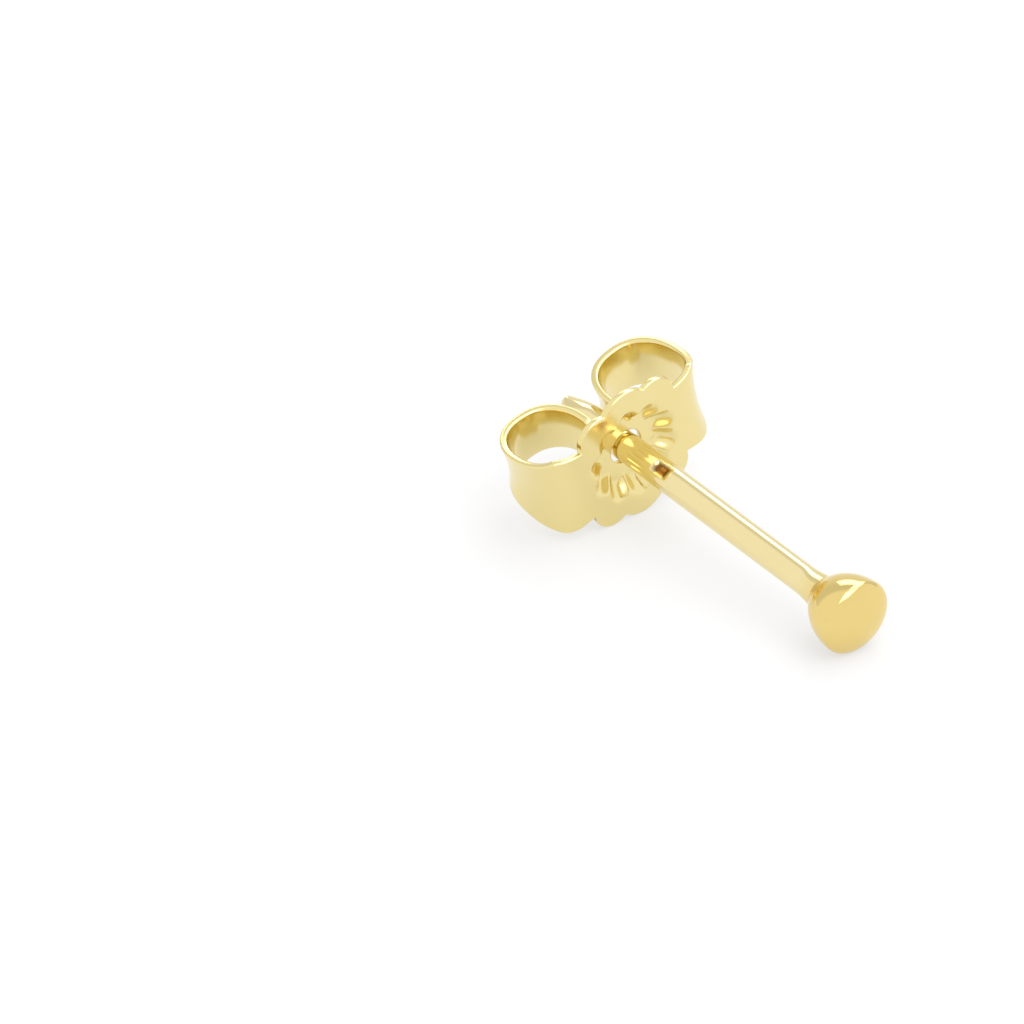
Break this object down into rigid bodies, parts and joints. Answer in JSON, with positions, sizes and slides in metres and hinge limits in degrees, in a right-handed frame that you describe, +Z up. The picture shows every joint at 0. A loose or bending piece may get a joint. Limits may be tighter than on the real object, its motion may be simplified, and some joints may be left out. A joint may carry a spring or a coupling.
{
  "type": "ball stud earring",
  "caption": "Polished yellow gold ball stud earring: a ball soldered to a straight post through a flared neck, with a fluted butterfly friction back that slides on the post.",
  "frame": {"origin": "on the table, under the centre of the earring as it lies at rest", "axes": "+Z up from the table, +X along the post seen from above, from its tip towards the ball, +Y along the length of the butterfly back"},
  "size_m": [0.0122, 0.006, 0.0042],
  "materials": {
    "polished_gold": "polished 14 carat yellow gold, mirror bright with fine handling marks"
  },
  "bodies": {
    "stud": {"ball_post": "polished_gold"},
    "back": {"butterfly_clutch": "polished_gold"}
  },
  "joints": [
    {"name": "back_slide", "type": "slide", "parent": "stud", "child": "back", "axis": [0.993, 0, -0.1181], "range_m": [-0.0025, 0.0074]}
  ]
}
